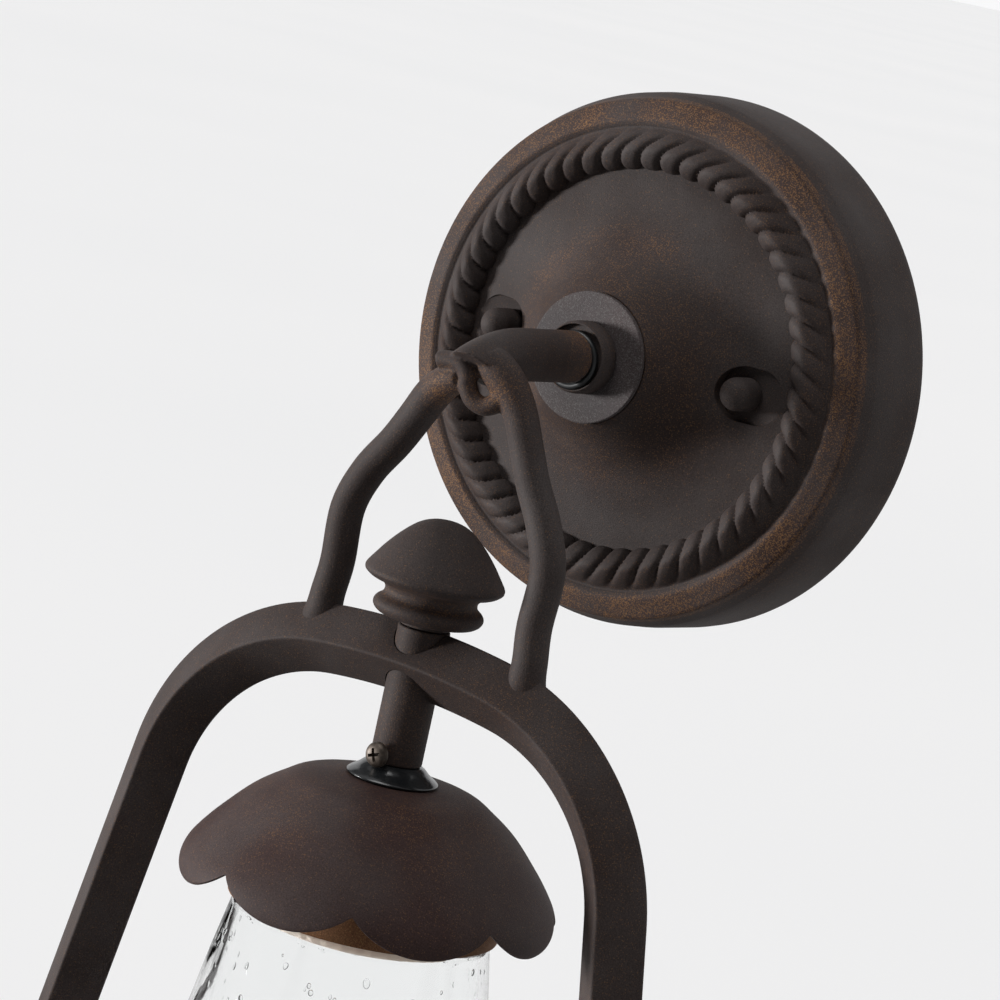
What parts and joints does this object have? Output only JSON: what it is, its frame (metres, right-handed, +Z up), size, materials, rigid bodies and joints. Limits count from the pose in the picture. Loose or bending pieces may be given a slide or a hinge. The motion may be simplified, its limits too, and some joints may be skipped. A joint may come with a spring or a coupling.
{
  "type": "outdoor wall lantern",
  "caption": "Rustic outdoor wall lantern: domed rope-edged canopy, bent arm with looped bail, arched square-bar frame, finial, scalloped cap and flared seeded glass shade.",
  "frame": {"origin": "centre of the canopy's back edge, on the wall", "axes": "+Z up, +Y into the wall, +X to the right as seen by someone facing the wall"},
  "size_m": [0.2008, 0.1407, 0.3498],
  "materials": {
    "rust_bronze": "rust bronze powder coat, fine orange speckle on raised edges",
    "worn_bronze": "lighter sparkling powder coat",
    "black_rubber": "glossy",
    "gasket_foam": "closed-cell foam, matt",
    "zinc_steel": "zinc plated",
    "aged_brass_screw": "aged, worn bright at the slots",
    "green_screw": "green ground screw",
    "porcelain": "glazed porcelain, ivory",
    "socket_brass": "bright",
    "socket_ring_phenolic": "moulded, satin",
    "seeded_glass": "clear, with small seed bubbles"
  },
  "bodies": {
    "frame_and_canopy": {"canopy": "rust_bronze", "wall_gasket": "gasket_foam", "mounting_crossbar": "zinc_steel", "ground_screw": "green_screw", "fixture_stud_left": "zinc_steel", "fixture_stud_right": "zinc_steel", "stud_locknut_left": "zinc_steel", "stud_locknut_right": "zinc_steel", "arm_washer": "worn_bronze", "arm_collar": "rust_bronze", "arm_seal_ring": "black_rubber", "arm_nipple": "zinc_steel", "arm_lock_washer": "zinc_steel", "arm_locknut": "zinc_steel", "arm_tube": "rust_bronze", "bail_leg_left": "rust_bronze", "bail_leg_right": "rust_bronze", "bail_curl": "rust_bronze", "lantern_frame": "rust_bronze", "frame_stem": "rust_bronze", "hanging_rod": "rust_bronze"},
    "shade": {"shade_spigot": "zinc_steel", "stem_grommet": "black_rubber", "scalloped_cap": "rust_bronze", "cap_locknut": "zinc_steel", "glass_holder": "rust_bronze", "socket_body": "porcelain", "socket_screw_shell": "socket_brass", "socket_center_contact": "socket_brass", "glass_shade": "seeded_glass"},
    "socket_ring": {"socket_ring": "socket_ring_phenolic"},
    "finial": {"finial": "rust_bronze"},
    "set_screw": {"shade_set_screw": "aged_brass_screw"},
    "ball_nut_left": {"ball_nut_left": "rust_bronze"},
    "ball_nut_right": {"ball_nut_right": "rust_bronze"}
  },
  "joints": [
    {"name": "shade_turn", "type": "hinge", "parent": "frame_and_canopy", "child": "shade", "pos_m": [0, -0.0894, -0.1], "axis": [0, 0, 1], "range_deg": [-170, 170]},
    {"name": "socket_ring_turn", "type": "hinge", "parent": "shade", "child": "socket_ring", "pos_m": [0, -0.0894, -0.136], "axis": [0, 0, 1], "continuous": true},
    {"name": "finial_turn", "type": "hinge", "parent": "frame_and_canopy", "child": "finial", "pos_m": [0, -0.0894, -0.06], "axis": [0, 0, 1], "continuous": true},
    {"name": "set_screw_turn", "type": "hinge", "parent": "frame_and_canopy", "child": "set_screw", "pos_m": [0, -0.0974, -0.0951], "axis": [0, -1, 0], "continuous": true},
    {"name": "ball_nut_left_turn", "type": "hinge", "parent": "frame_and_canopy", "child": "ball_nut_left", "pos_m": [-0.035, -0.0338, 0], "axis": [0, -1, 0], "continuous": true},
    {"name": "ball_nut_right_turn", "type": "hinge", "parent": "frame_and_canopy", "child": "ball_nut_right", "pos_m": [0.035, -0.0338, 0], "axis": [0, -1, 0], "continuous": true}
  ]
}
